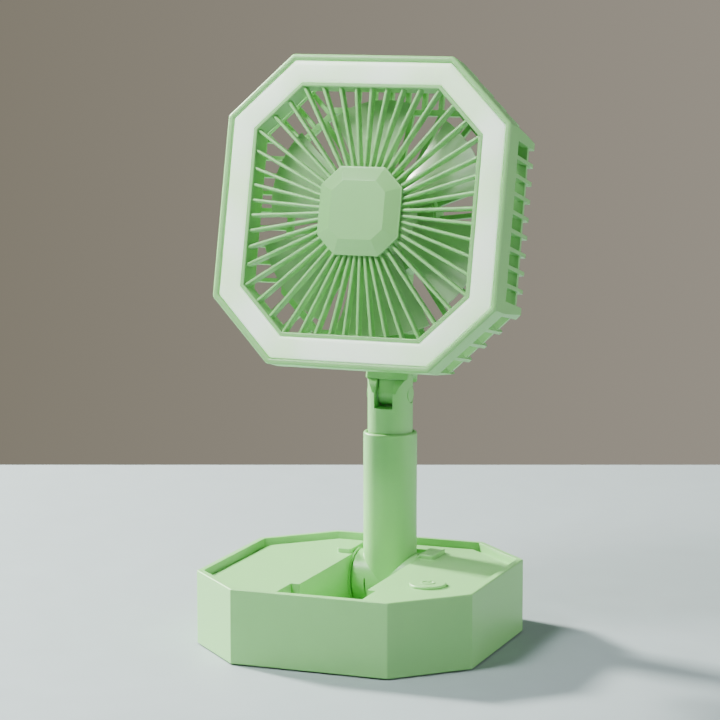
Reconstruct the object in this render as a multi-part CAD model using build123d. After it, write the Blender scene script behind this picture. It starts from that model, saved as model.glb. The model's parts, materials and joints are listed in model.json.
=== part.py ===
from build123d import *
import math
import os

# Folding desk fan with an octagonal light ring, all sizes in millimetres.
# +Z is up, the front of the fan faces -Y, the origin is the middle of the base on the table.

os.makedirs("parts", exist_ok=True)

# ---- base ----
BASE_SIDE = 147.0
BASE_LEG = 32.3
BASE_TOP = 38.4
BASE_BOTTOM = 0.8
BASE_WALL = 3.3
FLOOR_TOP = 3.6
DECK_Z = 35.4
DECK_UNDER = 31.8
CHANNEL_HALF = 18.1
CHANNEL_FLOOR = 7.0
CHANNEL_BACK = 57.4
NOTCH_HALF = 22.7
NOTCH_START = -39.5
NOTCH_FLOOR = 22.0
SKIN = 2.0

# ---- power button ----
BUTTON_X = 43.0
BUTTON_Y = -20.0
BUTTON_R = 9.4
BUTTON_TOP = 36.9

# ---- arm ----
HINGE_Y = 42.4
HINGE_Z = 22.5
TUBE_R = 14.0
TUBE_TOP = 100.6
TUBE_BORE = 12.3
BARREL_HALF = 16.85
HINGE_PIN_R = 3.0
NECK_R = 11.75
NECK_BORE = 9.4
NECK_FOOT = 42.0

# ---- tilt joint ----
PIVOT_Z = 120.5
EAR_R = 9.85
SLOT_HALF = 5.0
SLOT_FLOOR = 113.9
TONGUE_HALF = 4.55
TONGUE_R = 6.2
TILT_PIN_R = 2.0
TILT_CAP_R = 4.2

# ---- head, drawn looking at its front: x right, y up, z toward the viewer, depth = -z ----
HEAD_TILT = 13.9
PIVOT_DEPTH = 68.0
PIVOT_DROP = 85.6
HEAD_W = 151.4
HEAD_H = 158.4
HEAD_LEG = 32.6
LIP = 3.1
DIFFUSER_IN = 14.6
OPENING = 16.6
BAND_DEPTH = 15.6
HEAD_DEPTH = 47.0
REAR_SIDE_IN = 0.8
REAR_TOP_IN = 3.8
REAR_LEG = 31.7
CAGE_WALL = 4.2
HOOP_IN = 1.2
HOOP_FRONT = 35.4
HOOP_BACK = 38.2
REAR_FRONT = 43.4
REAR_RING_OUT = 19.6
REAR_RING_IN = 22.6
SEAT_R = 28.0
RIB_W = 2.0
SIDE_RIBS = (4.6, 13.8, 22.9, 32.1)
LEG_RIBS = (0.0, 10.5)
SPOKE_W = 1.7
SPOKE_FRONT = 1.7
HUB_W = 43.5
HUB_H = 45.0
HUB_LEG = 9.9

# ---- rotor ----
FAN_R = 60.5
FAN_BLADES = 6
FAN_HUB_R = 19.5
SHAFT_R = 1.5


def save(shape, name):
    """Write one node."""
    export_step(shape, "parts/" + name + ".step")


def octagon(width, height, leg):
    """A rectangle with equal cut corners, as a face on XY."""
    a = width / 2
    b = height / 2
    corners = [(a, b - leg), (a - leg, b), (leg - a, b), (-a, b - leg)]
    corners += [(-a, leg - b), (leg - a, -b), (a - leg, -b), (a, leg - b)]
    return make_face(Polyline(*corners, close=True))


def head_octagon(inset):
    """The head outline moved inward by a wall thickness."""
    cut = HEAD_LEG - inset * (2 - math.sqrt(2))
    return octagon(HEAD_W - 2 * inset, HEAD_H - 2 * inset, cut)


def base_octagon(inset):
    """The base outline moved inward by a wall thickness."""
    cut = BASE_LEG - inset * (2 - math.sqrt(2))
    return octagon(BASE_SIDE - 2 * inset, BASE_SIDE - 2 * inset, cut)


def slab(face, low, high):
    """A face on XY raised between two heights."""
    return Pos(0, 0, low) * extrude(face, high - low)


def head_ring(outer, inner, front, back):
    """An octagonal ring of the head between two insets and two depths."""
    ring = slab(head_octagon(outer), -back, -front)
    return ring - slab(head_octagon(inner), -back - 1, -front + 1)


def box(x0, x1, y0, y1, z0, z1):
    """A block between limits."""
    block = Box(abs(x1 - x0), abs(y1 - y0), abs(z1 - z0))
    return Pos((x0 + x1) / 2, (y0 + y1) / 2, (z0 + z1) / 2) * block


def rod(radius, low, high, x=0.0, y=0.0):
    """A round bar along Z between two heights."""
    bar = Cylinder(radius, high - low)
    return Pos(x, y, (low + high) / 2) * bar


def tube(outer, inner, low, high, x=0.0, y=0.0):
    """A round tube along Z between two heights."""
    return rod(outer, low, high, x, y) - rod(inner, low - 1, high + 1, x, y)


def cross_rod(radius, x0, x1, y, z):
    """A round bar along X."""
    bar = Rot(0, 90, 0) * Cylinder(radius, x1 - x0)
    return Pos((x0 + x1) / 2, y, z) * bar


def disc(radius, front, back, x=0.0, y=0.0):
    """A round bar of the head between two depths."""
    return rod(radius, -back, -front, x, y)


def washer(outer, inner, front, back, x=0.0, y=0.0):
    """A round ring of the head between two depths."""
    return tube(outer, inner, -back, -front, x, y)


def head_place():
    """Where the head drawing stands on the tilt pivot."""
    a = math.radians(HEAD_TILT)
    y = HINGE_Y - PIVOT_DEPTH * math.cos(a) + PIVOT_DROP * math.sin(a)
    z = PIVOT_Z + PIVOT_DEPTH * math.sin(a) + PIVOT_DROP * math.cos(a)
    return Pos(0, y, z) * Rot(90 - HEAD_TILT, 0, 0)


HEAD = head_place()
FEET_AT = [(x, y) for x in (-54, 54) for y in (-34, 34)]
SCREWS_AT = [(x, y) for x in (-42, 42) for y in (-57, 57)]
COVER_SCREWS_AT = [(x, y) for x in (-16, 16) for y in (-16, 16)]


# ---------------------------------------------------------------- base

def base_shell():
    """The octagonal tub with its floor, feet seats and the charging port."""
    body = slab(base_octagon(0), BASE_BOTTOM, BASE_TOP)
    uprights = body.edges().filter_by(Axis.Z)
    body = fillet(uprights, 0.9)
    crown = body.faces().sort_by(Axis.Z)[-1].edges()
    body = fillet(crown, 0.7)
    body -= slab(base_octagon(BASE_WALL), FLOOR_TOP, BASE_TOP + 1)
    for x, y in FEET_AT:
        body -= rod(7.0, 0, 2.2, x, y)
    for x, y in SCREWS_AT:
        body -= rod(2.7, 0, 2.4, x, y)
        body -= rod(1.4, 0, 5, x, y)
    for x, y in ((50, -48), (60, 18), (34, 32)):
        body += rod(2.4, FLOOR_TOP - 0.2, 24.6, x, y)
    port = Rot(90, 0, 0) * extrude(SlotOverall(9.4, 3.6), 12)
    body -= Pos(-30, 78, 16) * port
    cradle = box(-37, -23, 61.5, BASE_SIDE / 2 - BASE_WALL + 0.2, FLOOR_TOP - 0.2, 14.4)
    return body + cradle


def base_deck():
    """The top plate with the arm channel, the two hinge lugs and the button hole."""
    plate = slab(base_octagon(BASE_WALL + 0.15), DECK_UNDER, 33.8)
    low = Pos(0, 0, 33.8) * base_octagon(4.2)
    high = Pos(0, 0, DECK_Z) * base_octagon(7.2)
    body = plate + loft([low, high], ruled=True)
    front = -BASE_SIDE / 2 + BASE_WALL + 0.15
    half = CHANNEL_HALF
    body += box(-half - SKIN, half + SKIN, front, CHANNEL_BACK + SKIN, CHANNEL_FLOOR - SKIN, 33)
    wide = NOTCH_HALF + SKIN
    body += box(-wide, wide, front, NOTCH_START + SKIN, NOTCH_FLOOR - SKIN, 33)
    for side in (-1, 1):
        lug = box(side * 18.8, side * 27.0, 34.6, 53.6, DECK_Z - 1, DECK_Z + 2.4)
        edges = lug.edges().filter_by(Axis.Z)
        lug = fillet(edges, 1.6)
        top = lug.faces().sort_by(Axis.Z)[-1].edges()
        body += fillet(top, 0.5)
        inner = half + SKIN - 0.2
        outer = 26.4
        body += box(side * inner, side * outer, 36.4, 48.4, 15.0, DECK_UNDER + 0.2)
    for x, y in SCREWS_AT:
        body += rod(3.4, FLOOR_TOP, DECK_UNDER + 0.2, x, y)
        body -= rod(1.1, FLOOR_TOP - 1, 16, x, y)
    body -= box(-half, half, front - 1, CHANNEL_BACK, CHANNEL_FLOOR, DECK_Z + 1)
    body -= box(-NOTCH_HALF, NOTCH_HALF, front - 1, NOTCH_START, NOTCH_FLOOR, DECK_Z + 1)
    body -= cross_rod(HINGE_PIN_R, -27.5, 27.5, HINGE_Y, HINGE_Z)
    body -= rod(BUTTON_R + 0.25, DECK_UNDER - 1, DECK_Z + 1, BUTTON_X, BUTTON_Y)
    return body


def hinge_washers():
    """Friction discs between the arm barrel and the channel walls."""
    discs = []
    for side in (-1, 1):
        near = side * (CHANNEL_HALF - 0.95)
        far = side * CHANNEL_HALF
        ring = cross_rod(14.5, min(near, far), max(near, far), HINGE_Y, HINGE_Z)
        discs.append(ring - cross_rod(HINGE_PIN_R, -30, 30, HINGE_Y, HINGE_Z))
    return Compound(children=discs)


def power_button():
    """The round cap with its retaining flange, switch stem and raised power mark."""
    cap = rod(BUTTON_R, 30.6, BUTTON_TOP)
    crown = cap.edges().sort_by(Axis.Z)[-1]
    cap = fillet(crown, 0.8)
    cap += rod(BUTTON_R + 1.1, 30.2, DECK_UNDER - 0.25)
    cap += rod(2.2, 29.4, 30.4)
    cap -= rod(BUTTON_R - 1.6, 29.9, 34.6) - rod(2.2, 29.4, 34.6)
    mark = tube(3.6, 2.8, BUTTON_TOP - 0.2, BUTTON_TOP + 0.25)
    mark -= box(-1.5, 1.5, 1.5, 5, BUTTON_TOP - 1, BUTTON_TOP + 1)
    mark += box(-0.4, 0.4, 0.8, 4.2, BUTTON_TOP - 0.2, BUTTON_TOP + 0.25)
    return Pos(BUTTON_X, BUTTON_Y, 0) * (cap + mark)


def button_switch():
    """The small push switch under the cap."""
    body = box(-3.1, 3.1, -3.1, 3.1, 26.2, 27.9) + rod(1.7, 27.8, 28.5)
    return Pos(BUTTON_X, BUTTON_Y, 0) * body


def control_board():
    """The circuit board beside the channel."""
    board = box(28.5, 64, -42, 36, 24.6, 26.2)
    board += box(30.5, 56, -52, -41, 24.6, 26.2)
    return board


def board_parts():
    """Charge controller, inductor, capacitors and the plug for the light and motor leads."""
    parts = [box(40, 46, 2, 8, 26.2, 27.1), box(50, 57, 4, 11, 26.2, 29.2)]
    parts += [box(50, 54, 16, 20, 26.2, 27.0), box(33, 43, 22, 27, 26.2, 30.6)]
    parts += [rod(3.1, 26.2, 31.0, 56, -40), rod(3.1, 26.2, 31.0, 48, -46)]
    return Compound(children=parts)


def battery_cells():
    """Two round cells lying beside the channel."""
    cells = []
    for x in (-34.8, 34.8):
        can = Rot(90, 0, 0) * Cylinder(9.2, 64.4)
        nub = Pos(0, -32.6, 0) * Rot(90, 0, 0) * Cylinder(2.8, 1.2)
        cells.append(Pos(x, -12, 12.8 + 0.05) * (can + nub))
    return Compound(children=cells)


def usb_socket():
    """The reversible charging socket in the rear wall."""
    shell = Rot(90, 0, 0) * extrude(SlotOverall(8.94, 3.2), 7.4)
    hollow = Rot(90, 0, 0) * extrude(SlotOverall(8.3, 2.56), 6.2)
    socket = Pos(0, 7.4, 0) * shell - Pos(0, 7.45, 0) * hollow
    socket += box(-3.3, 3.3, 0.8, 6.2, -0.35, 0.35)
    return Pos(-30, 64.6, 16) * socket


def rubber_feet():
    """Four round pads in the underside."""
    pads = []
    for x, y in FEET_AT:
        pad = rod(7.0, 0, 2.2)
        rim = pad.edges().sort_by(Axis.Z)[0]
        pads.append(Pos(x, y, 0) * fillet(rim, 0.5))
    return Compound(children=pads)


def base_screws():
    """Four screws that hold the deck to the tub from below."""
    screws = []
    for x, y in SCREWS_AT:
        screw = rod(2.6, 0.9, 2.4) + rod(1.1, 2.3, 15.5)
        screw -= box(-1.6, 1.6, -0.25, 0.25, 0.5, 1.7) + box(-0.25, 0.25, -1.6, 1.6, 0.5, 1.7)
        screws.append(Pos(x, y, 0) * screw)
    return Compound(children=screws)


def hinge_pin():
    """The steel pin through the base lugs and the arm barrel."""
    return cross_rod(HINGE_PIN_R, -26.4, 26.4, HINGE_Y, HINGE_Z)


# ---------------------------------------------------------------- arm

def arm_outer_tube():
    """The lower tube with its cross barrel."""
    mast = rod(TUBE_R, HINGE_Z, TUBE_TOP, 0, HINGE_Y)
    rim = mast.edges().sort_by(Axis.Z)[-1]
    mast = fillet(rim, 1.1)
    barrel = cross_rod(TUBE_R, -BARREL_HALF, BARREL_HALF, HINGE_Y, HINGE_Z)
    ends = barrel.edges().filter_by(GeomType.CIRCLE)
    body = mast + chamfer(ends, 0.5)
    body -= rod(TUBE_BORE, 40.5, TUBE_TOP + 1, 0, HINGE_Y)
    body -= rod(13.0, 91.0, 99.4, 0, HINGE_Y)
    body -= rod(12.4, 99.3, TUBE_TOP + 1, 0, HINGE_Y)
    body -= cross_rod(HINGE_PIN_R + 0.06, -20, 20, HINGE_Y, HINGE_Z)
    body -= rod(2.6, HINGE_Z - 2, 41, -9.0, HINGE_Y - 4.5)
    slit = box(-9.6, -8.8, HINGE_Y - 15, HINGE_Y - 11.5, HINGE_Z - 9, HINGE_Z + 1.5)
    return body - slit


def slide_bush():
    """The grip bush in the mouth of the lower tube."""
    return tube(13.0, NECK_R + 0.08, 91.0, 99.4, 0, HINGE_Y)


def neck_tube():
    """The upper tube with the fork that carries the head."""
    top = PIVOT_Z + EAR_R
    body = rod(NECK_R, NECK_FOOT, top + 1, 0, HINGE_Y)
    core = rod(NECK_R + 1, PIVOT_Z - 6.0, top + 3, 0, HINGE_Y)
    keep = cross_rod(EAR_R, -20, 20, HINGE_Y, PIVOT_Z)
    keep += box(-20, 20, HINGE_Y - EAR_R, HINGE_Y, PIVOT_Z - 8, PIVOT_Z)
    keep += box(-20, 20, HINGE_Y - 20, HINGE_Y, PIVOT_Z - 8, PIVOT_Z + 1.4)
    body -= core - keep
    body -= box(-SLOT_HALF, SLOT_HALF, HINGE_Y - 20, HINGE_Y + 20, SLOT_FLOOR, top + 5)
    body -= rod(NECK_BORE, NECK_FOOT - 1, SLOT_FLOOR - 3.0, 0, HINGE_Y)
    body -= rod(2.4, SLOT_FLOOR - 4, SLOT_FLOOR + 1, 0, HINGE_Y + 2.5)
    body -= tube(NECK_R + 1, 10.8, NECK_FOOT - 1, NECK_FOOT + 6, 0, HINGE_Y)
    body -= cross_rod(TILT_PIN_R, -20, 20, HINGE_Y, PIVOT_Z)
    for side in (-1, 1):
        x0, x1 = sorted((side * 9.6, side * 14))
        body -= cross_rod(TILT_CAP_R + 0.2, x0, x1, HINGE_Y, PIVOT_Z)
    return body


def guide_ring():
    """The low-friction ring at the foot of the upper tube."""
    return tube(TUBE_BORE - 0.08, 10.8, NECK_FOOT, NECK_FOOT + 6, 0, HINGE_Y)


def tilt_pin():
    """The steel pin of the tilt joint."""
    return cross_rod(TILT_PIN_R, -9.6, 9.6, HINGE_Y, PIVOT_Z)


def tilt_caps():
    """The two round caps that close the pin's seats in the fork."""
    caps = []
    for side in (-1, 1):
        cap = cross_rod(TILT_CAP_R, 9.6, 11.5, HINGE_Y, PIVOT_Z)
        rim = cap.edges().filter_by(GeomType.CIRCLE).sort_by(Axis.X)[-1]
        cap = fillet(rim, 0.4)
        caps.append(cap if side > 0 else mirror(cap, Plane.YZ))
    return Compound(children=caps)


def tilt_washers():
    """Two thin friction washers inside the fork."""
    rings = []
    for side in (-1, 1):
        x0, x1 = sorted((side * (SLOT_HALF - 0.3), side * SLOT_HALF))
        ring = cross_rod(5.6, x0, x1, HINGE_Y, PIVOT_Z)
        rings.append(ring - cross_rod(TILT_PIN_R, -20, 20, HINGE_Y, PIVOT_Z))
    return Compound(children=rings)


# ---------------------------------------------------------------- head

def side_prism(points, half):
    """A profile in (depth, up) drawn on the head and made 2*half wide across it."""
    wire = Polyline(*[(-d, u) for d, u in points], close=True)
    face = make_face(wire)
    solid = extrude(face, half, both=True)
    return Rot(0, -90, 0) * solid


def at_pivot(solid):
    """Move a bar drawn along X at the head origin to the tilt pivot."""
    return Pos(0, -PIVOT_DROP, -PIVOT_DEPTH) * solid


def head_bracket():
    """Rear cover plate, stem, foot and tongue that join the head to the fork."""
    front = PIVOT_DEPTH - 7.8
    back = PIVOT_DEPTH + 7.4
    foot = -PIVOT_DROP + 5.5
    stem = [(front, foot), (front, -68), (47.6, -46), (47.6, 16)]
    stem += [(56.5, 16), (56.5, -40), (back, -64), (back, foot)]
    body = side_prism(stem, 12.0)
    corners = body.edges().filter_by(Axis.X, reverse=True)
    body = fillet(corners, 1.8)
    body += disc(28.0, 46.0, 50.6)
    gap = Rot(0, 90, 0) * Cylinder(10.2, 60)
    body -= at_pivot(gap)
    tongue = Rot(0, 90, 0) * Cylinder(TONGUE_R, 2 * TONGUE_HALF)
    tongue += box(-TONGUE_HALF, TONGUE_HALF, 0, 14, -TONGUE_R, TONGUE_R)
    body += at_pivot(tongue)
    bore = Rot(0, 90, 0) * Cylinder(TILT_PIN_R + 0.06, 60)
    body -= at_pivot(bore)
    for x, y in COVER_SCREWS_AT:
        body -= disc(1.3, 40, 55, x, y)
    return HEAD * body


def side_windows(length, ribs, corner):
    """Openings between the ribs of one side, drawn along X with the wall at +Y."""
    edges = []
    for at in ribs:
        edges += [at - RIB_W / 2, at + RIB_W / 2]
    edges += [-e for e in edges]
    edges = sorted(set(round(e, 4) for e in edges))
    limits = [-(length / 2 - corner)] + edges + [length / 2 - corner]
    gaps = []
    for low, high in zip(limits[0::2], limits[1::2]):
        gaps.append(box(low, high, -21.5, 3, -HEAD_DEPTH - 1, -BAND_DEPTH))
    return gaps


def cage_windows():
    """Every opening between the ribs of the cage."""
    windows = []
    straight = HEAD_H - 2 * HEAD_LEG
    top = HEAD_W - 2 * HEAD_LEG
    slant = HEAD_LEG * math.sqrt(2)
    for turn in (0, 180):
        for gap in side_windows(straight, SIDE_RIBS, 6.4):
            windows.append(Rot(0, 0, turn) * Pos(HEAD_W / 2, 0, 0) * Rot(0, 0, -90) * gap)
        for gap in side_windows(top, SIDE_RIBS, 4.6):
            windows.append(Rot(0, 0, turn) * Pos(0, HEAD_H / 2, 0) * gap)
    for sx in (-1, 1):
        for sy in (-1, 1):
            turn = math.degrees(math.atan2(sy, sx)) - 90
            x = (HEAD_W - HEAD_LEG) / 2 * sx
            y = (HEAD_H - HEAD_LEG) / 2 * sy
            for gap in side_windows(slant, LEG_RIBS, 2.2):
                windows.append(Pos(x, y, 0) * Rot(0, 0, turn) * gap)
    return windows


def cage_block(inset, front, back):
    """The tapering inside of the cage, moved inward by a wall, between two depths."""
    width = HEAD_W - 2 * (REAR_SIDE_IN + inset)
    height = HEAD_H - 2 * (REAR_TOP_IN + inset)
    rear = octagon(width, height, REAR_LEG - inset * (2 - math.sqrt(2)))
    block = loft([Pos(0, 0, -HEAD_DEPTH) * rear, Pos(0, 0, -BAND_DEPTH) * head_octagon(inset)], ruled=True)
    return block & slab(head_octagon(-5), -back, -front)


def head_band():
    """The solid side band behind the lip, with the floor of the light channel."""
    body = head_ring(0.35, OPENING, 2.4, BAND_DEPTH)
    body -= slab(head_octagon(2.1), -11.5, -1)
    body -= slab(head_octagon(CAGE_WALL), -BAND_DEPTH - 1, -13.4)
    return HEAD * body


def side_ribs():
    """The ribs along the sides of the head, with a wide one on each corner."""
    body = cage_block(0.35, BAND_DEPTH, HEAD_DEPTH)
    rear = body.faces().sort_by(Axis.Z)[0].edges()
    body = fillet(rear, 2.6)
    body -= cage_block(CAGE_WALL, BAND_DEPTH, HEAD_DEPTH)
    body -= cage_block(HOOP_IN, HOOP_FRONT, HOOP_BACK)
    body -= cage_windows()
    return HEAD * body


def cage_hoop():
    """The octagonal hoop that ties the side ribs together."""
    body = cage_block(HOOP_IN, HOOP_FRONT, HOOP_BACK)
    return HEAD * (body - cage_block(CAGE_WALL + 2.0, HOOP_FRONT - 1, HOOP_BACK + 1))


def rear_ribs():
    """The inward arms of the ribs across the rear edge of the head."""
    body = cage_block(CAGE_WALL, REAR_FRONT, HEAD_DEPTH)
    body -= slab(head_octagon(REAR_RING_OUT), -HEAD_DEPTH - 1, -REAR_FRONT + 1)
    body -= cage_windows()
    arms = [arm for arm in body.solids() if arm.volume > 20]
    return HEAD * Compound(children=arms)


def rear_grille():
    """The flat rear ring and the radial bars that carry the motor seat."""
    body = head_ring(REAR_RING_OUT, REAR_RING_IN, REAR_FRONT, HEAD_DEPTH)
    limit = slab(head_octagon(REAR_RING_IN - 0.5), -60, -30)
    bars = []
    for n in range(24):
        bar = box(27.0, 80, -1.2, 1.2, -REAR_FRONT - 2.6, -REAR_FRONT)
        bars.append((Rot(0, 0, 15 * n + 7.5) * bar) & limit)
    body += bars
    return HEAD * (body - disc(SEAT_R, 30, 60))


def motor_seat():
    """The shallow cup behind the motor with its bearing boss and cover screw posts."""
    body = washer(SEAT_R, 25.4, 37.0, 46.0)
    body += disc(27.0, 36.0, 38.4)
    body += washer(5.1, 3.5, 18.6, 37.0)
    for x, y in COVER_SCREWS_AT:
        body += disc(2.6, 38.0, 46.0, x, y)
        body -= disc(1.0, 39.4, 47.0, x, y)
    body -= disc(3.5, 18.0, 37.2)
    return HEAD * body


def front_bezel():
    """The rounded front lip and the skirt that locates it in the band."""
    body = head_ring(0, LIP, 0, 2.2)
    front = body.faces().sort_by(Axis.Z)[-1]
    outer = front.outer_wire().edges()
    inner = front.inner_wires()[0].edges()
    body = fillet(outer, 1.5)
    front = body.faces().sort_by(Axis.Z)[-1]
    body = fillet(front.inner_wires()[0].edges(), 0.6)
    body += head_ring(2.2, LIP, 2.1, 11.4)
    body += head_ring(LIP - 0.1, 4.4, 2.9, 4.2)
    return HEAD * body


def led_diffuser():
    """The milky ring in front of the lamps."""
    body = head_ring(LIP + 0.2, DIFFUSER_IN, 0.7, 2.9)
    front = body.faces().sort_by(Axis.Z)[-1]
    body = fillet(front.outer_wire().edges(), 0.5)
    return HEAD * body


def led_board():
    """The octagonal lamp board on the floor of the light channel."""
    return HEAD * head_ring(LIP + 0.4, DIFFUSER_IN - 0.2, 9.9, 11.5)


def led_chips():
    """The row of lamps round the ring."""
    chips = []
    cut = HEAD_LEG - 8.9 * (2 - math.sqrt(2))
    a = HEAD_W / 2 - 8.9
    b = HEAD_H / 2 - 8.9
    for x in (-36, -18, 0, 18, 36):
        chips += [(x, b), (x, -b)]
        chips += [(a, x), (-a, x)]
    for sx in (-1, 1):
        for sy in (-1, 1):
            for t in (0.28, 0.72):
                chips.append((sx * (a - cut * t), sy * (b - cut * (1 - t))))
    solids = [box(x - 1.4, x + 1.4, y - 1.4, y + 1.4, -9.9, -9.2) for x, y in chips]
    return HEAD * Compound(children=solids)


def spoke_angles():
    """Directions of the grille spokes, spaced evenly between the corners of the opening."""
    w = HEAD_W / 2 - OPENING
    h = HEAD_H / 2 - OPENING
    cut = HEAD_LEG - OPENING * (2 - math.sqrt(2))
    side = math.degrees(math.atan2(h - cut, w))
    top = math.degrees(math.atan2(h, w - cut))
    spans = [(-side, side, 9), (side, top, 3), (top, 180 - top, 8)]
    spans += [(180 - top, 180 - side, 3), (180 - side, 180 + side, 9)]
    spans += [(180 + side, 180 + top, 3), (180 + top, 360 - top, 9), (360 - top, 360 - side, 3)]
    angles = []
    for start, end, count in spans:
        angles += [start + (end - start) * n / count for n in range(count)]
    return angles


def grille_rim():
    """The inner wall of the light ring."""
    wall = head_ring(DIFFUSER_IN + 0.1, OPENING, 0.1, 11.5)
    front = wall.faces().sort_by(Axis.Z)[-1]
    return HEAD * fillet(front.inner_wires()[0].edges(), 0.7)


def front_grille():
    """The radial spokes and the plate behind the hub cap."""
    r = SPOKE_W / 2
    bar = box(15.5, 90, -r, r, -6.6, -SPOKE_FRONT - r)
    bar += Pos(52.75, 0, -SPOKE_FRONT - r) * Rot(0, 90, 0) * Cylinder(r, 74.5)
    limit = slab(head_octagon(OPENING), -20, 0)
    body = slab(octagon(HUB_W - 2.4, HUB_H - 2.4, HUB_LEG - 0.7), -6.6, -1.6)
    body += [(Rot(0, 0, a) * bar) & limit for a in spoke_angles()]
    return HEAD * body


def hub_cap():
    """The faceted cap in the middle of the grille."""
    base = slab(octagon(HUB_W, HUB_H, HUB_LEG), -1.6, 0.2)
    low = Pos(0, 0, 0.2) * octagon(HUB_W - 1.3, HUB_H - 1.3, HUB_LEG - 0.4)
    high = Pos(0, 0, 3.9) * octagon(28.9, 30.2, 5.7)
    crown = loft([low, high], ruled=True)
    return HEAD * (base + crown)


def motor_stator():
    """The laminated core with nine poles."""
    body = washer(7.4, 5.1, 21.0, 30.0)
    for n in range(9):
        tooth = box(6.8, 12.6, -1.2, 1.2, -30.0, -21.0)
        shoe = washer(13.8, 12.2, 21.0, 30.0) & box(10, 15, -3.9, 3.9, -30.0, -21.0)
        body += Rot(0, 0, 40 * n) * (tooth + shoe)
    return HEAD * body


def motor_coils():
    """Nine copper windings on the poles."""
    coils = []
    for n in range(9):
        coil = box(7.9, 12.0, -2.3, 2.3, -31.2, -19.8) - box(7, 13, -1.2, 1.2, -30.0, -21.0)
        coils.append(Rot(0, 0, 40 * n) * coil)
    return HEAD * Compound(children=coils)


def motor_board():
    """The round driver board behind the windings."""
    return HEAD * washer(15.5, 5.1, 34.6, 36.0)


def bearings():
    """Two small ball bearings in the motor seat."""
    pair = [washer(3.5, SHAFT_R + 0.06, d, d + 3.0) for d in (19.2, 33.6)]
    return HEAD * Compound(children=pair)


def cover_screws():
    """Four screws in the rear cover."""
    return HEAD * Compound(children=[screw_at(x, y) for x, y in COVER_SCREWS_AT])


def screw_at(x, y):
    """One cover screw at its place."""
    screw = disc(2.4, 50.6, 52.2, x, y) + disc(1.0, 40.0, 50.8, x, y)
    screw -= box(x - 1.5, x + 1.5, y - 0.25, y + 0.25, -53, -51.4)
    screw -= box(x - 0.25, x + 0.25, y - 1.5, y + 1.5, -53, -51.4)
    return screw


# ---------------------------------------------------------------- rotor

def blade():
    """One pitched, cambered blade, trimmed to the fan radius."""
    sections = []
    for r, chord, rise, camber, thick in ((17.0, 14.5, 5.6, 1.0, 2.2), (64.0, 52.0, 6.0, 2.4, 1.4)):
        c = chord / 2
        upper = ThreePointArc((-c, rise), (0, camber), (c, -rise))
        lower = ThreePointArc((c, -rise - thick), (0, camber - thick), (-c, rise - thick))
        face = make_face([upper, Line(upper @ 1, lower @ 0), lower, Line(lower @ 1, upper @ 0)])
        plane = Plane(origin=(r, 0, -27), x_dir=(0, 1, 0), z_dir=(1, 0, 0))
        sections.append(plane * face)
    return loft(sections, ruled=True)


def impeller():
    """The hub with its blades."""
    hub = disc(FAN_HUB_R, 12.6, 33.0)
    nose = hub.edges().sort_by(Axis.Z)[-1]
    hub = fillet(nose, 1.6)
    one = blade() & (disc(FAN_R, 0, 60) - disc(FAN_HUB_R - 1.2, 0, 60))
    body = hub
    for n in range(FAN_BLADES):
        body += Rot(0, 0, 60 * n + 38.0) * one
    body -= disc(17.1, 15.0, 34.0)
    body -= disc(SHAFT_R, 10, 20)
    return HEAD * body


def rotor_cup():
    """The steel cup inside the hub."""
    cup = disc(17.1, 15.0, 32.4) - disc(16.0, 16.1, 34)
    return HEAD * (cup - disc(SHAFT_R, 10, 20))


def magnet_ring():
    """The ring magnet inside the cup."""
    return HEAD * washer(16.0, 14.4, 20.4, 31.0)


def motor_shaft():
    """The ground steel shaft."""
    return HEAD * disc(SHAFT_R, 12.7, 36.8)


NODES = {
    "base_shell": base_shell,
    "base_deck": base_deck,
    "hinge_washers": hinge_washers,
    "hinge_pin": hinge_pin,
    "power_button": power_button,
    "button_switch": button_switch,
    "control_board": control_board,
    "board_parts": board_parts,
    "battery_cells": battery_cells,
    "usb_socket": usb_socket,
    "rubber_feet": rubber_feet,
    "base_screws": base_screws,
    "arm_outer_tube": arm_outer_tube,
    "slide_bush": slide_bush,
    "neck_tube": neck_tube,
    "guide_ring": guide_ring,
    "tilt_pin": tilt_pin,
    "tilt_caps": tilt_caps,
    "tilt_washers": tilt_washers,
    "head_bracket": head_bracket,
    "head_band": head_band,
    "side_ribs": side_ribs,
    "cage_hoop": cage_hoop,
    "rear_ribs": rear_ribs,
    "rear_grille": rear_grille,
    "motor_seat": motor_seat,
    "front_bezel": front_bezel,
    "led_diffuser": led_diffuser,
    "led_board": led_board,
    "led_chips": led_chips,
    "grille_rim": grille_rim,
    "front_grille": front_grille,
    "hub_cap": hub_cap,
    "motor_stator": motor_stator,
    "motor_coils": motor_coils,
    "motor_board": motor_board,
    "bearings": bearings,
    "cover_screws": cover_screws,
    "impeller": impeller,
    "rotor_cup": rotor_cup,
    "magnet_ring": magnet_ring,
    "motor_shaft": motor_shaft,
}

for node_name, build_node in NODES.items():
    save(build_node(), node_name)
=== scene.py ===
"""Looks for a folding desk fan with an octagonal light ring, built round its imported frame."""

import json
import logging
import math
from dataclasses import dataclass, field
from enum import Enum

import bpy
from mathutils import Matrix, Vector

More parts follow.
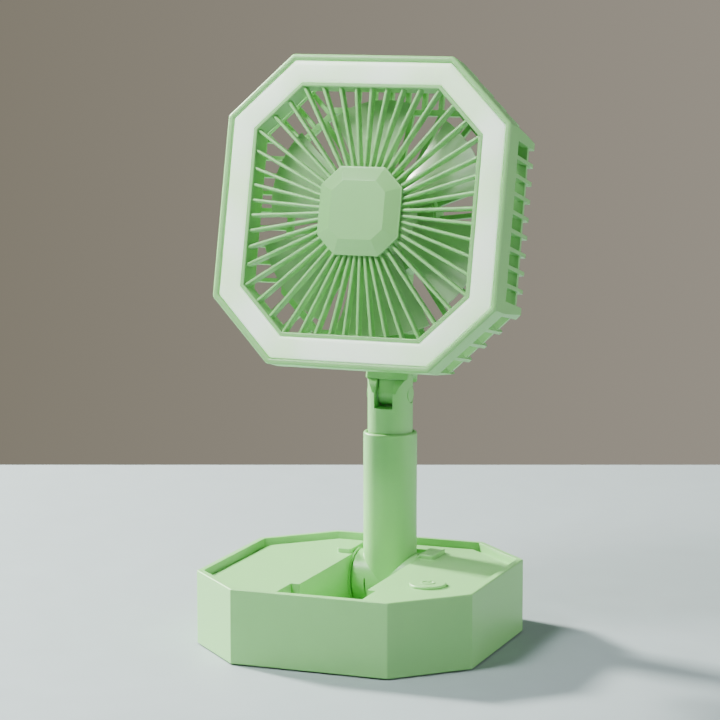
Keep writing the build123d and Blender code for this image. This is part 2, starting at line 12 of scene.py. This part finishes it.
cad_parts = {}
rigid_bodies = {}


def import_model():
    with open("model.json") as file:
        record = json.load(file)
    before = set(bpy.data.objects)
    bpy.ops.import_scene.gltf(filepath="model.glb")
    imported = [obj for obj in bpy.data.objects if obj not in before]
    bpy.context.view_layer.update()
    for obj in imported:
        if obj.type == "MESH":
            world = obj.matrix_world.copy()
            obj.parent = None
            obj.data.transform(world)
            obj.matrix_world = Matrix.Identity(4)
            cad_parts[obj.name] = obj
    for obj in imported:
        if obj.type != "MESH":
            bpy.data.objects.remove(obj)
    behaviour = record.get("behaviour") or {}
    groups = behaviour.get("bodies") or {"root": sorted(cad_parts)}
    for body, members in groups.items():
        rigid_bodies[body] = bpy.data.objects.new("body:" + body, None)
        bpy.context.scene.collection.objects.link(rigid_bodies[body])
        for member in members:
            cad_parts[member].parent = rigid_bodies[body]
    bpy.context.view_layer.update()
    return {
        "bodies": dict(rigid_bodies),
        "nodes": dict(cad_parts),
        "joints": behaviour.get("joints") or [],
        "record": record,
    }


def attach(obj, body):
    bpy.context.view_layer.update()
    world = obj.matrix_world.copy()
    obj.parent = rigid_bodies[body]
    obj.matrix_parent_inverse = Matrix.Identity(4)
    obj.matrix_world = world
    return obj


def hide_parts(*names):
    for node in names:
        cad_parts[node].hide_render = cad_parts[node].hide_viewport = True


LOG = logging.getLogger("fan")
MM = 0.001
LEG_LOSS = 2 - math.sqrt(2)
ROUGHNESS_SWING = 0.05


# ---------------------------------------------------------------- small tools


def linear(hex_colour: str) -> tuple[float, float, float, float]:
    """Turn an sRGB hex colour into the linear colour a shader wants.

    Args:
        hex_colour: Six hex digits with or without a leading hash.

    Returns:
        Red, green, blue and an alpha of one.
    """
    digits = hex_colour.lstrip("#")
    channels = [int(digits[i : i + 2], 16) / 255 for i in (0, 2, 4)]
    red, green, blue = [c / 12.92 if c <= 0.04045 else ((c + 0.055) / 1.055) ** 2.4 for c in channels]
    return red, green, blue, 1.0


def add_node(
    tree: bpy.types.NodeTree, kind: str, inputs: dict | None = None, **settings: object
) -> bpy.types.Node:
    """Add one node with its settings, values and links.

    Args:
        tree: The node tree that takes the node.
        kind: Blender's name of the node type.
        inputs: Socket name or number to a value, or to the output socket that feeds it.
        **settings: Attributes set on the node itself.

    Returns:
        The new node.
    """
    node = tree.nodes.new(kind)
    for name, value in settings.items():
        setattr(node, name, value)
    for name, value in (inputs or {}).items():
        if isinstance(value, bpy.types.NodeSocket):
            tree.links.new(value, node.inputs[name])
        else:
            node.inputs[name].default_value = value
    return node


def mesh_piece(
    name: str, points: list[Vector], faces: list[tuple[int, ...]], sharp_deg: float = 32.0
) -> bpy.types.Object:
    """Make a mesh object with smooth faces and sharp corners.

    Args:
        name: Name of the object.
        points: Vertices in metres.
        faces: Vertex numbers of each face.
        sharp_deg: Edges that turn by more than this stay sharp.

    Returns:
        The new object, linked to the scene.
    """
    mesh = bpy.data.meshes.new(name)
    mesh.from_pydata([tuple(p) for p in points], [], faces)
    mesh.validate()
    mesh.shade_smooth()
    mesh.set_sharp_from_angle(angle=math.radians(sharp_deg))
    piece = bpy.data.objects.new(name, mesh)
    bpy.context.scene.collection.objects.link(piece)
    return piece


def octagon_loop(
    width: float, height: float, leg: float, radius: float, steps: int = 5
) -> list[tuple[float, float]]:
    """Go once round a rectangle with cut corners whose eight corners are rounded.

    Args:
        width: Size along the first axis.
        height: Size along the second axis.
        leg: How much each cut takes from each side.
        radius: Radius at each of the eight corners.
        steps: Points spent on each rounded corner.

    Returns:
        Points counter-clockwise, in the unit of the arguments.
    """
    a, b = width / 2, height / 2
    corners = [(a, leg - b), (a, b - leg), (a - leg, b), (leg - a, b)]
    corners += [(-a, b - leg), (-a, leg - b), (leg - a, -b), (a - leg, -b)]
    loop = []
    for i, corner in enumerate(corners):
        here = Vector(corner)
        before = (Vector(corners[i - 1]) - here).normalized()
        after = (Vector(corners[(i + 1) % 8]) - here).normalized()
        reach = radius * math.tan(math.radians(22.5))
        start, end = here + before * reach, here + after * reach
        for k in range(steps):
            t = k / (steps - 1)
            bend = start * (1 - t) ** 2 + here * (2 * t * (1 - t)) + end * t**2
            loop.append((bend.x, bend.y))
    return loop


def sweep_faces(rings: int, count: int, closed: bool) -> list[tuple[int, ...]]:
    """Face numbers for a stack of equal closed loops.

    Args:
        rings: How many loops there are.
        count: Points in each loop.
        closed: True where the last loop joins the first again.

    Returns:
        One quad for each cell.
    """
    faces = []
    for r in range(rings if closed else rings - 1):
        low, high = r * count, ((r + 1) % rings) * count
        for k in range(count):
            nxt = (k + 1) % count
            faces.append((low + k, low + nxt, high + nxt, high + k))
    return faces


# ---------------------------------------------------------------- finishes


@dataclass(frozen=True)
class Finish:
    """A surface: what it is made of and how it was made."""

    name: str
    colour: str
    roughness: float
    ior: float = 1.5
    metallic: float = 0.0
    grain_mm: float = 0.9
    grain_depth_mm: float = 0.01
    mottle: float = 0.04
    mottle_mm: float = 22.0
    edge_mm: float = 0.0

    def shader_inputs(self) -> dict:
        """Values that stand on the shader's own sockets.

        Returns:
            Socket names and their values.
        """
        return {"IOR": self.ior} if self.metallic < 0.5 else {}

    def pattern_inputs(self, tree: bpy.types.NodeTree, place: bpy.types.NodeSocket) -> dict:
        """Extra patterned inputs of the shader.

        Args:
            tree: The node tree that takes the pattern.
            place: The piece's own coordinates.

        Returns:
            Socket names and what feeds them.
        """
        return {}

    def material(self) -> bpy.types.Material:
        """Build the node material.

        Returns:
            The material, ready for a slot.
        """
        material = bpy.data.materials.new(self.name)
        material.use_nodes = True
        tree = material.node_tree
        tree.nodes.clear()
        place = add_node(tree, "ShaderNodeTexCoord").outputs["Object"]
        cloud = add_node(
            tree,
            "ShaderNodeTexNoise",
            {"Vector": place, "Scale": 1 / (self.mottle_mm * MM), "Detail": 3.0, "Roughness": 0.55},
        ).outputs[0]
        base = linear(self.colour)
        light = tuple(min(1.0, c * (1 + self.mottle)) for c in base[:3]) + (1.0,)
        dark = tuple(c * (1 - self.mottle) for c in base[:3]) + (1.0,)
        tones = {"Fac": cloud, "Color1": dark, "Color2": light}
        colour = add_node(tree, "ShaderNodeMixRGB", tones).outputs[0]
        grain = add_node(
            tree,
            "ShaderNodeTexNoise",
            {"Vector": place, "Scale": 1 / (self.grain_mm * MM), "Detail": 2.0, "Roughness": 0.6},
        ).outputs[0]
        gloss = add_node(
            tree,
            "ShaderNodeMapRange",
            {
                "Value": cloud,
                "To Min": self.roughness - ROUGHNESS_SWING,
                "To Max": self.roughness + ROUGHNESS_SWING,
            },
        ).outputs[0]
        bump_inputs = {"Height": grain, "Strength": 1.0, "Distance": self.grain_depth_mm * MM}
        if self.edge_mm:
            edge = add_node(tree, "ShaderNodeBevel", {"Radius": self.edge_mm * MM}, samples=4)
            bump_inputs["Normal"] = edge.outputs[0]
        bump = add_node(tree, "ShaderNodeBump", bump_inputs).outputs[0]
        inputs = {"Base Color": colour, "Roughness": gloss, "Normal": bump, "Metallic": self.metallic}
        inputs.update(self.shader_inputs())
        inputs.update(self.pattern_inputs(tree, place))
        shader = add_node(tree, "ShaderNodeBsdfPrincipled", inputs)
        add_node(tree, "ShaderNodeOutputMaterial", {"Surface": shader.outputs[0]})
        return material


@dataclass(frozen=True)
class MouldedPlastic(Finish):
    """Injection-moulded plastic: light goes a little way in, so recesses glow in its own colour."""

    depth_mm: float = 1.0
    scatter: float = 0.15

    def shader_inputs(self) -> dict:
        """Values that stand on the shader's own sockets.

        Returns:
            Socket names and their values.
        """
        values = super().shader_inputs()
        values["Subsurface Weight"] = self.scatter
        values["Subsurface Scale"] = self.depth_mm * MM
        values["Subsurface Radius"] = (0.6, 1.0, 0.4)
        return values


@dataclass(frozen=True)
class LitPlastic(MouldedPlastic):
    """Milky plastic with lamps behind it."""

    glow: str = "#C9F5B9"
    spot: str = "#F3FBF8"
    spot_mm: float = 30.0
    strength: float = 0.5

    def shader_inputs(self) -> dict:
        """Values that stand on the shader's own sockets.

        Returns:
            Socket names and their values.
        """
        values = super().shader_inputs()
        values["Emission Strength"] = self.strength
        return values

    def pattern_inputs(self, tree: bpy.types.NodeTree, place: bpy.types.NodeSocket) -> dict:
        """Soft pale spots in the glow, as lamps leave behind a milky panel.

        Args:
            tree: The node tree that takes the pattern.
            place: The piece's own coordinates.

        Returns:
            The emission colour's socket name and what feeds it.
        """
        field_inputs = {"Vector": place, "Scale": 1 / (self.spot_mm * MM), "Detail": 1.0}
        cloud = add_node(tree, "ShaderNodeTexNoise", field_inputs).outputs[0]
        spread = {"Value": cloud, "From Min": 0.38, "From Max": 0.62}
        spots = add_node(tree, "ShaderNodeMapRange", spread).outputs[0]
        colours = {"Fac": spots, "Color1": linear(self.glow), "Color2": linear(self.spot)}
        return {"Emission Color": add_node(tree, "ShaderNodeMixRGB", colours).outputs[0]}


class Slot(Enum):
    """The record's material slots."""

    SHELL = "mint_shell"
    BUTTON = "mint_button"
    ARM = "mint_arm"
    CAGE = "mint_cage"
    GRILLE = "mint_grille"
    CAP = "mint_cap"
    DIFFUSER = "light_diffuser"
    BLADE = "blade_plastic"
    ACETAL = "white_acetal"
    STEEL = "steel"
    PLATED = "plated_steel"
    RUBBER = "foot_rubber"
    BOARD = "circuit_board"
    WHITE_BOARD = "white_board"
    LAMP = "lamp_chip"
    RESIN = "black_resin"
    WRAP = "cell_wrap"
    COPPER = "copper_wire"
    MAGNET = "magnet"


MINT = "#8CCF7E"

# Spark-eroded ABS: a satin skin with a fine orange-peel, soft edges from the mould.
SHELL_ABS = MouldedPlastic("abs_mint_shell", MINT, 0.42, 1.53, edge_mm=0.5)
ARM_ABS = MouldedPlastic("abs_mint_arm", MINT, 0.38, 1.53, edge_mm=0.4)
CAGE_ABS = MouldedPlastic("abs_mint_cage", MINT, 0.40, 1.53, edge_mm=0.35)
GRILLE_ABS = MouldedPlastic("abs_mint_grille", MINT, 0.36, 1.53, edge_mm=0.2)
CAP_ABS = MouldedPlastic("abs_mint_cap", MINT, 0.38, 1.53, edge_mm=0.3)
BUTTON_ABS = MouldedPlastic("abs_mint_button", MINT, 0.38, 1.53, edge_mm=0.3)
# Unpainted styrene blades, greyer than the shell and smoother.
BLADE_AS = MouldedPlastic("styrene_blade", "#9CC292", 0.35, 1.57, edge_mm=0.0)
# Opal PMMA over white lamps: pale, soft and evenly bright.
OPAL = LitPlastic("opal_acrylic", "#D2EBCB", 0.35, 1.49, scatter=0.5, depth_mm=3.0, strength=0.92)
# Turned acetal: white and slightly waxy.
ACETAL = MouldedPlastic("acetal_turned", "#E6E6DE", 0.4, 1.48)
# Rolled steel with a dull zinc plating, for pins, screws and laminations.
STEEL = Finish("steel_zinc_plated", "#B9BABD", 0.34, metallic=1.0, grain_mm=1.2)
# Ground steel under bright nickel.
PLATED = Finish("steel_nickel_plated", "#C9CAC6", 0.22, metallic=1.0, grain_mm=1.2)
# Pressed silicone, matt and dusty.
RUBBER = Finish("silicone_rubber_foot", "#2A2D2B", 0.75, 1.45, grain_mm=0.6)
# Glass-fibre boards under green and white solder mask.
BOARD = Finish("solder_mask_green", "#1F5A2E", 0.4, 1.5)
WHITE_BOARD = Finish("solder_mask_white", "#E8EDE6", 0.4, 1.5)
# Yellow phosphor in clear resin over each lamp.
LAMP = LitPlastic("lamp_phosphor", "#F1EDB0", 0.4, 1.5, strength=1.5)
# Black epoxy round the small components.
RESIN = Finish("epoxy_moulding", "#17181A", 0.5, 1.55)
# Thin shrunk film round the cells.
WRAP = Finish("pvc_shrink_wrap", "#3A6EA5", 0.3, 1.53)
# Round copper wire in clear enamel.
COPPER = Finish("enamelled_copper", "#C0703A", 0.3, metallic=1.0)
# Fired ferrite, grey and slightly rough.
MAGNET = Finish("sintered_ferrite", "#2C2C2F", 0.55, 2.0)

# Plaster board under matt paint, with the roller's fine stipple.
FLOOR_PAINT = Finish(
    "plaster_board_painted", "#9DACAF", 0.6, 1.45, grain_mm=1.6, grain_depth_mm=0.06, mottle=0.05
)

FINISHES = {
    Slot.SHELL: SHELL_ABS,
    Slot.BUTTON: BUTTON_ABS,
    Slot.ARM: ARM_ABS,
    Slot.CAGE: CAGE_ABS,
    Slot.GRILLE: GRILLE_ABS,
    Slot.CAP: CAP_ABS,
    Slot.DIFFUSER: OPAL,
    Slot.BLADE: BLADE_AS,
    Slot.ACETAL: ACETAL,
    Slot.STEEL: STEEL,
    Slot.PLATED: PLATED,
    Slot.RUBBER: RUBBER,
    Slot.BOARD: BOARD,
    Slot.WHITE_BOARD: WHITE_BOARD,
    Slot.LAMP: LAMP,
    Slot.RESIN: RESIN,
    Slot.WRAP: WRAP,
    Slot.COPPER: COPPER,
    Slot.MAGNET: MAGNET,
}


@dataclass
class Wardrobe:
    """Every finish as a built material, by slot."""

    materials: dict[Slot, bpy.types.Material] = field(default_factory=dict)

    def build(self) -> None:
        """Build each finish once."""
        for slot, finish in FINISHES.items():
            self.materials[slot] = finish.material()

    def dress(self, piece: bpy.types.Object, slot: Slot) -> None:
        """Give a piece one finish.

        Args:
            piece: The object to dress.
            slot: The record's slot.
        """
        piece.data.materials.clear()
        piece.data.materials.append(self.materials[slot])


@dataclass
class CarriedNodes:
    """The frame's own nodes, dressed by the slots that the record gives them."""

    frame: dict

    def dress(self, wardrobe: Wardrobe) -> int:
        """Give each node its finish.

        Args:
            wardrobe: The built materials.

        Returns:
            How many nodes were dressed.
        """
        slots = {s["node"]: Slot(s["material_slot"]) for s in self.frame["record"]["subparts"]}
        for name, node in self.frame["nodes"].items():
            if not node.data.materials:
                node.data.materials.append(None)
            for i in range(len(node.data.materials)):
                node.data.materials[i] = wardrobe.materials[slots[name]]
        return len(slots)


# ---------------------------------------------------------------- head pieces


@dataclass
class HeadFrame:
    """The head's own axes: x to the right, up along its face, and out of its front."""

    frame: dict

    def matrix(self) -> Matrix:
        """The place of the head's face centre.

        Returns:
            A matrix from head axes (x, up, out) to the row frame.
        """
        spin = [j for j in self.frame["joints"] if j["name"] == "fan_spin"][0]
        out = Vector(spin["axis"]).normalized()
        across = Vector((1, 0, 0))
        up = out.cross(across)
        turn = Matrix((across, up, out)).transposed().to_4x4()
        return Matrix.Translation(Vector(spin["pos_m"])) @ turn


@dataclass
class RingSection:
    """A ring of the head made by sweeping a section round its octagon."""

    width: float = 151.4
    height: float = 158.4
    leg: float = 32.6

    def loops(self, section: list[tuple[float, float, float]], steps: int = 5) -> list[Vector]:
        """Sweep a section.

        Args:
            section: For each point its inset, its depth and the corner radius there, in mm.
            steps: Points on each corner.

        Returns:
            Points in head axes, in metres, loop after loop.
        """
        points = []
        for inset, depth, radius in section:
            cut = self.leg - inset * LEG_LOSS
            loop = octagon_loop(self.width - 2 * inset, self.height - 2 * inset, cut, radius, steps)
            points += [Vector((x, y, -depth)) * MM for x, y in loop]
        return points


@dataclass
class LightRing:
    """The lip and the milky panel of the ring."""

    ring: RingSection
    steps: int = 5

    def build_lip(self, place: Matrix) -> bpy.types.Object:
        """The rounded lip round the panel.

        Args:
            place: Head axes to the row frame.

        Returns:
            The lip.
        """
        section = [(2.4, 4.0, 3.0), (0.9, 3.4, 3.0), (0.35, 2.4, 3.0), (0.1, 1.7, 3.0)]
        section += [(0.0, 1.2, 3.0), (0.12, 0.62, 3.0), (0.5, 0.22, 2.8), (1.05, 0.03, 2.6)]
        section += [(1.6, 0.0, 2.4), (2.2, 0.05, 2.2), (2.62, 0.22, 2.0), (2.9, 0.6, 1.9)]
        section += [(3.0, 1.4, 1.9), (3.0, 4.0, 1.9)]
        points = [place @ p for p in self.ring.loops(section, self.steps)]
        return mesh_piece("ring_lip", points, sweep_faces(len(section), 8 * self.steps, True))

    def build_panel(self, place: Matrix) -> bpy.types.Object:
        """The milky panel, slightly crowned, with a thin gap to the lip.

        Args:
            place: Head axes to the row frame.

        Returns:
            The panel.
        """
        section = [(3.4, 2.6, 1.8), (3.35, 1.3, 1.8), (3.55, 0.85, 1.7), (4.1, 0.62, 1.6)]
        section += [(5.9, 0.45, 1.4), (8.9, 0.36, 1.2), (12.0, 0.45, 1.0), (13.8, 0.62, 0.9)]
        section += [(14.35, 0.9, 0.9), (14.5, 1.4, 0.9), (14.5, 2.6, 0.9)]
        points = [place @ p for p in self.ring.loops(section, self.steps)]
        return mesh_piece("ring_panel", points, sweep_faces(len(section), 8 * self.steps, True))

    def build(self, place: Matrix, wardrobe: Wardrobe) -> None:
        """Build and dress the ring's pieces.

        Args:
            place: Head axes to the row frame.
            wardrobe: The built materials.
        """
        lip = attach(self.build_lip(place), "head")
        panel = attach(self.build_panel(place), "head")
        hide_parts("front_bezel")
        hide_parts("led_diffuser")
        wardrobe.dress(lip, Slot.CAGE)
        wardrobe.dress(panel, Slot.DIFFUSER)


@dataclass
class HubCap:
    """The faceted cap in the middle of the grille."""

    width: float = 43.5
    height: float = 45.0
    leg: float = 9.9
    top_width: float = 28.9
    top_height: float = 30.2
    top_leg: float = 5.7
    rise: float = 3.9
    steps: int = 3

    def build(self, place: Matrix, wardrobe: Wardrobe) -> None:
        """Build and dress the cap.

        Args:
            place: Head axes to the row frame.
            wardrobe: The built materials.
        """
        sections = [(self.width, self.height, self.leg, -1.6, 0.8)]
        sections += [(self.width, self.height, self.leg, -0.1, 0.8)]
        sections += [(self.width - 0.5, self.height - 0.5, self.leg - 0.15, 0.2, 0.7)]
        sections += [(self.width - 1.5, self.height - 1.5, self.leg - 0.45, 0.3, 0.6)]
        sections += [(self.top_width + 0.5, self.top_height + 0.5, self.top_leg, self.rise - 0.2, 0.5)]
        sections += [(self.top_width - 0.4, self.top_height - 0.4, self.top_leg, self.rise, 0.4)]
        points = []
        for w, h, leg, out, radius in sections:
            points += [Vector((x, y, out)) * MM for x, y in octagon_loop(w, h, leg, radius, self.steps)]
        count = 8 * self.steps
        faces = sweep_faces(len(sections), count, False)
        faces.append(tuple(range(count * (len(sections) - 1), count * len(sections))))
        faces.append(tuple(reversed(range(count))))
        cap = mesh_piece("hub_cap_faceted", [place @ p for p in points], faces, 14.0)
        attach(cap, "head")
        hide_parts("hub_cap")
        wardrobe.dress(cap, Slot.CAP)


# ---------------------------------------------------------------- studio


@dataclass(frozen=True)
class SoftLight:
    """A square soft light: its direction from the fan, its distance and side in metres, its watts."""

    name: str
    toward: tuple[float, float, float]
    reach: float
    size: float
    power: float
    colour: str


# A low key from behind the left, weak fills on both sides, and a small lamp above the head's front.
LIGHTS = (
    SoftLight("key", (-0.843, 0.265, 0.469), 2.4, 0.30, 270.0, "#FFFBF4"),
    SoftLight("fill_left", (-0.70, -0.62, 0.80), 2.4, 1.2, 3.0, "#F4F8FF"),
    SoftLight("head_soft", (-0.30, -0.42, 0.61), 0.80, 0.22, 9.0, "#FFFFFF"),
    SoftLight("fill_right", (0.95, 0.15, 0.25), 2.2, 0.9, 18.0, "#FFFFFF"),
)
SURROUND_TINT = "#EDF2EE"
WALL_LEFT = "#857F71"
WALL_RIGHT = "#9C9589"


@dataclass
class Studio:
    """Floor, lights and camera."""

    azimuth: float = 20.778
    elevation: float = 8.7547
    distance: float = 1.42035
    sideways: float = -0.00072
    aim_height: float = 0.14408
    lens: float = 140.648
    sensor: float = 36.0
    floor_half: float = 1.6
    floor_front: float = 1.0
    floor_back: float = 0.469
    floor_thick: float = 0.03
    lit_height: float = 0.14
    surround: float = 0.22
    wall_spread: float = 0.13

    def back(self) -> Vector:
        """Give the viewing direction.

        Returns:
            Unit vector from the fan to the camera.
        """
        a, e = math.radians(self.azimuth), math.radians(self.elevation)
        return Vector((math.sin(a) * math.cos(e), -math.cos(a) * math.cos(e), math.sin(e)))

    def build_camera(self) -> None:
        """Make the camera and make it the scene's."""
        data = bpy.data.cameras.new("camera")
        data.lens, data.sensor_width = self.lens, self.sensor
        data.clip_start, data.clip_end = 0.05, 20.0
        camera = bpy.data.objects.new("camera", data)
        a = math.radians(self.azimuth)
        right = Vector((math.cos(a), math.sin(a), 0))
        aim = Vector((0, 0, self.aim_height))
        camera.location = aim + self.back() * self.distance + right * self.sideways
        camera.rotation_mode = "QUATERNION"
        camera.rotation_quaternion = (-self.back()).to_track_quat("-Z", "Y")
        bpy.context.scene.collection.objects.link(camera)
        bpy.context.scene.camera = camera

    def build_floor(self) -> None:
        """A pale painted board with a fine grain."""
        a = math.radians(self.azimuth)
        turn = Matrix.Rotation(a, 4, "Z")
        half, front, back = self.floor_half, -self.floor_front, self.floor_back
        corners = [(-half, front, 0), (half, front, 0), (half, back, 0), (-half, back, 0)]
        corners += [(x, y, -self.floor_thick) for x, y, _ in corners]
        faces = [(0, 1, 2, 3), (7, 6, 5, 4), (0, 4, 5, 1), (1, 5, 6, 2), (2, 6, 7, 3), (3, 7, 4, 0)]
        floor = mesh_piece("floor", [turn @ Vector(c) for c in corners], faces)
        floor.data.materials.append(FLOOR_PAINT.material())

    def add_light(self, light: SoftLight) -> None:
        """Add a square soft light that aims at the fan.

        Args:
            light: What to add.
        """
        toward = Vector(light.toward)
        data = bpy.data.lights.new(light.name, "AREA")
        data.size, data.energy, data.color = light.size, light.power, linear(light.colour)[:3]
        lamp = bpy.data.objects.new(light.name, data)
        lamp.location = Vector((0, 0, self.lit_height)) + toward.normalized() * light.reach
        lamp.rotation_mode = "QUATERNION"
        lamp.rotation_quaternion = (-toward).to_track_quat("-Z", "Y")
        bpy.context.scene.collection.objects.link(lamp)

    def build_surround(self) -> None:
        """Even soft light from all round, and a wall that pales towards the right."""
        world = bpy.data.worlds.new("surround")
        world.use_nodes = True
        tree = world.node_tree
        tree.nodes.clear()
        ray = add_node(tree, "ShaderNodeLightPath").outputs["Is Camera Ray"]
        even = {"Color": linear(SURROUND_TINT), "Strength": self.surround}
        soft = add_node(tree, "ShaderNodeBackground", even)
        a = math.radians(self.azimuth)
        aim = add_node(tree, "ShaderNodeTexCoord").outputs["Generated"]
        side = {0: aim, 1: (math.cos(a), math.sin(a), 0)}
        across = add_node(tree, "ShaderNodeVectorMath", side, operation="DOT_PRODUCT").outputs["Value"]
        fade = {"Value": across, "From Min": -self.wall_spread, "From Max": self.wall_spread}
        spread = add_node(tree, "ShaderNodeMapRange", fade).outputs[0]
        shades = {"Fac": spread, "Color1": linear(WALL_LEFT), "Color2": linear(WALL_RIGHT)}
        paint = add_node(tree, "ShaderNodeMixRGB", shades).outputs[0]
        wall = add_node(tree, "ShaderNodeBackground", {"Color": paint, "Strength": 1.0})
        both = add_node(tree, "ShaderNodeMixShader", {0: ray, 1: soft.outputs[0], 2: wall.outputs[0]})
        add_node(tree, "ShaderNodeOutputWorld", {"Surface": both.outputs[0]})
        bpy.context.scene.world = world

    def build(self) -> None:
        """Build all of it."""
        self.build_camera()
        self.build_floor()
        for light in LIGHTS:
            self.add_light(light)
        self.build_surround()


# ---------------------------------------------------------------- the whole


def main() -> None:
    """Build every sub-assembly in order."""
    logging.basicConfig(level=logging.INFO, format="%(message)s")
    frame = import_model()
    studio = Studio()
    studio.build()
    LOG.info("studio built")
    wardrobe = Wardrobe()
    wardrobe.build()
    LOG.info("%d finishes built", len(wardrobe.materials))
    count = CarriedNodes(frame).dress(wardrobe)
    LOG.info("%d nodes dressed", count)
    place = HeadFrame(frame).matrix()
    LightRing(RingSection()).build(place, wardrobe)
    LOG.info("light ring built")
    HubCap().build(place, wardrobe)
    LOG.info("hub cap built")


if __name__ == "__main__":
    main()
